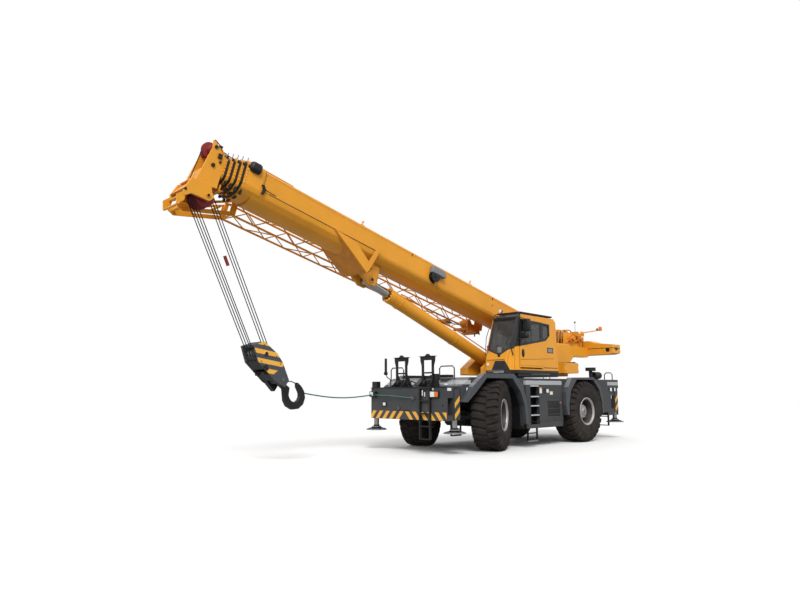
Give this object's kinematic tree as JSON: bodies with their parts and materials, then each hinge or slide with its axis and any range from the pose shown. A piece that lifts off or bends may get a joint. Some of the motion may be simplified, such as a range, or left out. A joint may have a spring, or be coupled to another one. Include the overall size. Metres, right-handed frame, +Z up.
{
  "type": "rough terrain crane",
  "caption": "Two-axle rough terrain crane with a raised telescopic boom, hanging hook block, stowed lattice extension, side cab, counterweight and outriggers.",
  "frame": {"origin": "bottom centre of the bounding box, on the ground", "axes": "+X is the way the carrier and the boom point, +Y is to the driver's left, +Z is up"},
  "size_m": [15.4916, 3.8654, 6.81],
  "materials": {
    "machine_yellow": "gloss",
    "carrier_grey": "satin",
    "deck_grey": "satin",
    "wheel_silver": "satin",
    "tyre_rubber": "matte",
    "rod_chrome": "polished",
    "rope_steel": "matte",
    "black_parts": "satin",
    "sheave_red": "satin",
    "seat_trim": "matte"
  },
  "bodies": {
    "carrier": {"air_cleaner": "black_parts", "carrier_body_left": "deck_grey", "carrier_body_right": "deck_grey", "chassis_frame": "carrier_grey", "deck_stand_left": "carrier_grey", "deck_stand_right": "carrier_grey", "engine_block": "black_parts", "front_axle": "carrier_grey", "front_ladder": "carrier_grey", "muffler": "black_parts", "rear_axle": "carrier_grey", "rear_ladder": "carrier_grey", "slew_ring": "carrier_grey"},
    "hook_assembly": {"block_sheaves": "sheave_red", "hoist_rope": "rope_steel", "hook": "black_parts", "hook_block": "black_parts"},
    "boom": {"boom_base": "machine_yellow", "lattice_jib": "machine_yellow"},
    "boom_section_5": {"boom_head": "machine_yellow", "boom_section_5": "machine_yellow", "head_sheave_top": "sheave_red", "head_sheaves_lower": "sheave_red"},
    "boom_section_2": {"boom_section_2": "machine_yellow"},
    "boom_section_3": {"boom_section_3": "machine_yellow"},
    "boom_section_4": {"boom_section_4": "machine_yellow"},
    "cab_door": {"cab_door": "machine_yellow"},
    "upperstructure": {"cab_mount": "carrier_grey", "cab_shell": "machine_yellow", "counterweight": "machine_yellow", "operator_seat": "seat_trim", "turntable_frame": "machine_yellow", "winch_drum_auxiliary": "carrier_grey", "winch_drum_main": "carrier_grey"},
    "jack_front_left": {"jack_front_left": "wheel_silver"},
    "jack_front_right": {"jack_front_right": "wheel_silver"},
    "jack_rear_left": {"jack_rear_left": "wheel_silver"},
    "jack_rear_right": {"jack_rear_right": "wheel_silver"},
    "knuckle_front_left": {"knuckle_front_left": "carrier_grey"},
    "knuckle_front_right": {"knuckle_front_right": "carrier_grey"},
    "knuckle_rear_left": {"knuckle_rear_left": "carrier_grey"},
    "knuckle_rear_right": {"knuckle_rear_right": "carrier_grey"},
    "lift_barrel": {"lift_cylinder_barrel": "machine_yellow"},
    "lift_rod": {"lift_cylinder_rod": "rod_chrome"},
    "beam_front_left": {"outrigger_beam_front_left": "carrier_grey"},
    "beam_front_right": {"outrigger_beam_front_right": "carrier_grey"},
    "beam_rear_left": {"outrigger_beam_rear_left": "carrier_grey"},
    "beam_rear_right": {"outrigger_beam_rear_right": "carrier_grey"},
    "wheel_front_left": {"rim_front_left": "wheel_silver", "tyre_front_left": "tyre_rubber"},
    "wheel_front_right": {"rim_front_right": "wheel_silver", "tyre_front_right": "tyre_rubber"},
    "wheel_rear_left": {"rim_rear_left": "wheel_silver", "tyre_rear_left": "tyre_rubber"},
    "wheel_rear_right": {"rim_rear_right": "wheel_silver", "tyre_rear_right": "tyre_rubber"}
  },
  "joints": [
    {"name": "steer_front_left", "type": "hinge", "parent": "carrier", "child": "knuckle_front_left", "pos_m": [-0.77, 1.075, 0.935], "axis": [0, 0, 1], "range_deg": [-60.8, 13.2]},
    {"name": "spin_front_left", "type": "hinge", "parent": "knuckle_front_left", "child": "wheel_front_left", "pos_m": [-0.8507, 1.258, 0.935], "axis": [-0.4035, 0.915, 0], "continuous": true},
    {"name": "steer_front_right", "type": "hinge", "parent": "carrier", "child": "knuckle_front_right", "pos_m": [-0.77, -1.075, 0.935], "axis": [0, 0, 1], "range_deg": [-60.8, 13.2]},
    {"name": "spin_front_right", "type": "hinge", "parent": "knuckle_front_right", "child": "wheel_front_right", "pos_m": [-0.6893, -1.258, 0.935], "axis": [-0.4035, 0.915, 0], "continuous": true},
    {"name": "steer_rear_left", "type": "hinge", "parent": "carrier", "child": "knuckle_rear_left", "pos_m": [-5.16, 1.075, 0.935], "axis": [0, 0, 1], "range_deg": [-37, 37]},
    {"name": "spin_rear_left", "type": "hinge", "parent": "knuckle_rear_left", "child": "wheel_rear_left", "pos_m": [-5.16, 1.275, 0.935], "axis": [0, 1, 0], "continuous": true},
    {"name": "steer_rear_right", "type": "hinge", "parent": "carrier", "child": "knuckle_rear_right", "pos_m": [-5.16, -1.075, 0.935], "axis": [0, 0, 1], "range_deg": [-37, 37]},
    {"name": "spin_rear_right", "type": "hinge", "parent": "knuckle_rear_right", "child": "wheel_rear_right", "pos_m": [-5.16, -1.275, 0.935], "axis": [0, 1, 0], "continuous": true},
    {"name": "slew", "type": "hinge", "parent": "carrier", "child": "upperstructure", "pos_m": [-3, 0, 1.9], "axis": [0, 0, 1], "continuous": true},
    {"name": "boom_luff", "type": "hinge", "parent": "upperstructure", "child": "boom", "pos_m": [-4.85, 0, 2.74], "axis": [0, -1, 0], "range_deg": [-14, 66]},
    {"name": "lift_cylinder_swing", "type": "hinge", "parent": "upperstructure", "child": "lift_barrel", "pos_m": [-3.16, 0, 2.115], "axis": [0, -1, 0], "range_deg": [-15.12, 71.28]},
    {"name": "lift_rod_slide", "type": "slide", "parent": "lift_barrel", "child": "lift_rod", "axis": [0.9307, 0, 0.3657], "range_m": [-0.3709, 1.7486]},
    {"name": "telescope_2", "type": "slide", "parent": "boom", "child": "boom_section_2", "axis": [0.9703, 0, 0.2419], "range_m": [0, 8.3]},
    {"name": "telescope_3", "type": "slide", "parent": "boom_section_2", "child": "boom_section_3", "axis": [0.9703, 0, 0.2419], "range_m": [0, 8.3]},
    {"name": "telescope_4", "type": "slide", "parent": "boom_section_3", "child": "boom_section_4", "axis": [0.9703, 0, 0.2419], "range_m": [0, 8.3]},
    {"name": "telescope_5", "type": "slide", "parent": "boom_section_4", "child": "boom_section_5", "axis": [0.9703, 0, 0.2419], "range_m": [0, 8.3]},
    {"name": "falls_hang", "type": "hinge", "parent": "boom_section_5", "child": "hook_assembly", "pos_m": [7.0869, 0, 5.5414], "axis": [0, -1, 0], "range_deg": [-39.7, 8.5]},
    {"name": "beam_front_left_slide", "type": "slide", "parent": "carrier", "child": "beam_front_left", "axis": [0, 1, 0], "range_m": [0, 2.1]},
    {"name": "jack_front_left_slide", "type": "slide", "parent": "beam_front_left", "child": "jack_front_left", "axis": [0, 0, -1], "range_m": [0, 0.62]},
    {"name": "beam_front_right_slide", "type": "slide", "parent": "carrier", "child": "beam_front_right", "axis": [0, -1, 0], "range_m": [0, 2.1]},
    {"name": "jack_front_right_slide", "type": "slide", "parent": "beam_front_right", "child": "jack_front_right", "axis": [0, 0, -1], "range_m": [0, 0.62]},
    {"name": "beam_rear_left_slide", "type": "slide", "parent": "carrier", "child": "beam_rear_left", "axis": [0, 1, 0], "range_m": [0, 2.1]},
    {"name": "jack_rear_left_slide", "type": "slide", "parent": "beam_rear_left", "child": "jack_rear_left", "axis": [0, 0, -1], "range_m": [0, 0.62]},
    {"name": "beam_rear_right_slide", "type": "slide", "parent": "carrier", "child": "beam_rear_right", "axis": [0, -1, 0], "range_m": [0, 2.1]},
    {"name": "jack_rear_right_slide", "type": "slide", "parent": "beam_rear_right", "child": "jack_rear_right", "axis": [0, 0, -1], "range_m": [0, 0.62]},
    {"name": "cab_door_slide", "type": "slide", "parent": "upperstructure", "child": "cab_door", "axis": [-1, 0, 0], "range_m": [0, 0.68]}
  ],
  "couplings": [
    {"joint": "lift_cylinder_swing", "follows": "boom_luff", "ratio": 1.08},
    {"joint": "lift_rod_slide", "follows": "boom_luff", "m_per_rad": 1.518},
    {"joint": "falls_hang", "follows": "boom_luff", "ratio": -0.6},
    {"joint": "telescope_3", "follows": "telescope_2", "ratio": 1},
    {"joint": "telescope_4", "follows": "telescope_2", "ratio": 1},
    {"joint": "telescope_5", "follows": "telescope_2", "ratio": 1}
  ]
}
